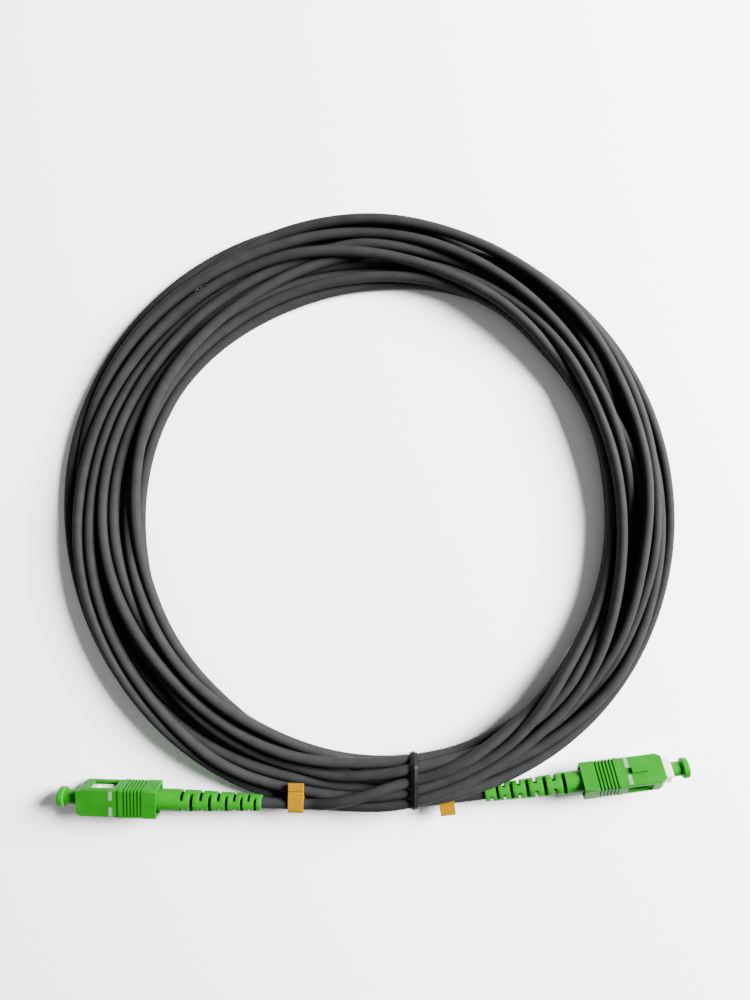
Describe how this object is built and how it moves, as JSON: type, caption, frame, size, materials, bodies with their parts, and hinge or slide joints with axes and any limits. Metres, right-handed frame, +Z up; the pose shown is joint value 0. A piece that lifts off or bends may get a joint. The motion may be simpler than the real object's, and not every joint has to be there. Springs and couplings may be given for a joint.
{
  "type": "fiber optic patch cord",
  "caption": "Simplex fiber optic patch cord with green angled-polish push-pull plugs, dust caps and slotted boots, coiled flat and held by a twist tie.",
  "frame": {"origin": "on the surface the cord lies on, midway between the two connectors", "axes": "+X from the left connector to the right one, +Y from the connectors to the middle of the coil, +Z up off the surface"},
  "size_m": [0.1966, 0.1924, 0.0127],
  "materials": {
    "green_shell": "satin moulded plastic",
    "mark_white": "matt inlay",
    "frame_white": "satin moulded plastic",
    "ceramic_white": "polished ceramic",
    "bright_steel": "turned",
    "spring_steel": "drawn wire",
    "nickel_brass": "nickel plated, turned",
    "aramid_yellow": "loose yarn",
    "crimp_metal": "crimped",
    "buffer_white": "smooth extruded",
    "cable_jacket": "matt extruded jacket",
    "green_boot": "matt soft plastic",
    "green_cap": "satin soft plastic",
    "marker_yellow": "satin moulded plastic",
    "tie_black": "satin soft plastic"
  },
  "bodies": {
    "cord": {"left_inner_housing": "frame_white", "left_spring": "spring_steel", "left_stop_body": "nickel_brass", "left_aramid_yarn": "aramid_yellow", "left_crimp_sleeve": "crimp_metal", "left_buffered_fiber": "buffer_white", "left_jacket_end": "cable_jacket", "left_boot": "green_boot", "right_inner_housing": "frame_white", "right_spring": "spring_steel", "right_stop_body": "nickel_brass", "right_aramid_yarn": "aramid_yellow", "right_crimp_sleeve": "crimp_metal", "right_buffered_fiber": "buffer_white", "right_jacket_end": "cable_jacket", "right_boot": "green_boot", "cord_tail_left": "cable_jacket", "cord_tail_right": "cable_jacket", "cord_coil": "cable_jacket", "twist_tie_sleeve": "tie_black", "twist_tie_wire": "spring_steel"},
    "left_shell": {"left_outer_housing": "green_shell", "left_index_marks": "mark_white"},
    "left_ferrule_assembly": {"left_ferrule": "ceramic_white", "left_ferrule_flange": "bright_steel"},
    "left_cap": {"left_dust_cap": "green_cap"},
    "left_marker": {"left_cable_marker": "marker_yellow"},
    "right_shell": {"right_outer_housing": "green_shell", "right_index_marks": "mark_white"},
    "right_ferrule_assembly": {"right_ferrule": "ceramic_white", "right_ferrule_flange": "bright_steel"},
    "right_cap": {"right_dust_cap": "green_cap"},
    "right_marker": {"right_cable_marker": "marker_yellow"}
  },
  "joints": [
    {"name": "left_shell_slide", "type": "slide", "parent": "cord", "child": "left_shell", "axis": [-0.9994, 0.0192, -0.03], "range_m": [-0.0021, 0.0001]},
    {"name": "left_ferrule_float", "type": "slide", "parent": "cord", "child": "left_ferrule_assembly", "axis": [0.9994, -0.0192, 0.03], "range_m": [0, 0.001], "stiffness_N_per_m": 500, "deforming": ["left_spring"]},
    {"name": "left_cap_pull", "type": "slide", "parent": "cord", "child": "left_cap", "axis": [-0.9994, 0.0192, -0.03], "range_m": [0, 0.016]},
    {"name": "left_marker_slide", "type": "slide", "parent": "cord", "child": "left_marker", "axis": [0.9994, -0.0192, 0.03], "range_m": [-0.002, 0.002]},
    {"name": "right_shell_slide", "type": "slide", "parent": "cord", "child": "right_shell", "axis": [0.9874, 0.1493, 0.0523], "range_m": [-0.0001, 0.002]},
    {"name": "right_ferrule_float", "type": "slide", "parent": "cord", "child": "right_ferrule_assembly", "axis": [-0.9874, -0.1493, -0.0523], "range_m": [0, 0.001], "stiffness_N_per_m": 500, "deforming": ["right_spring"]},
    {"name": "right_cap_pull", "type": "slide", "parent": "cord", "child": "right_cap", "axis": [0.9874, 0.1493, 0.0523], "range_m": [0, 0.016]},
    {"name": "right_marker_slide", "type": "slide", "parent": "cord", "child": "right_marker", "axis": [-0.9874, -0.1493, -0.0523], "range_m": [-0.002, 0.002]}
  ]
}
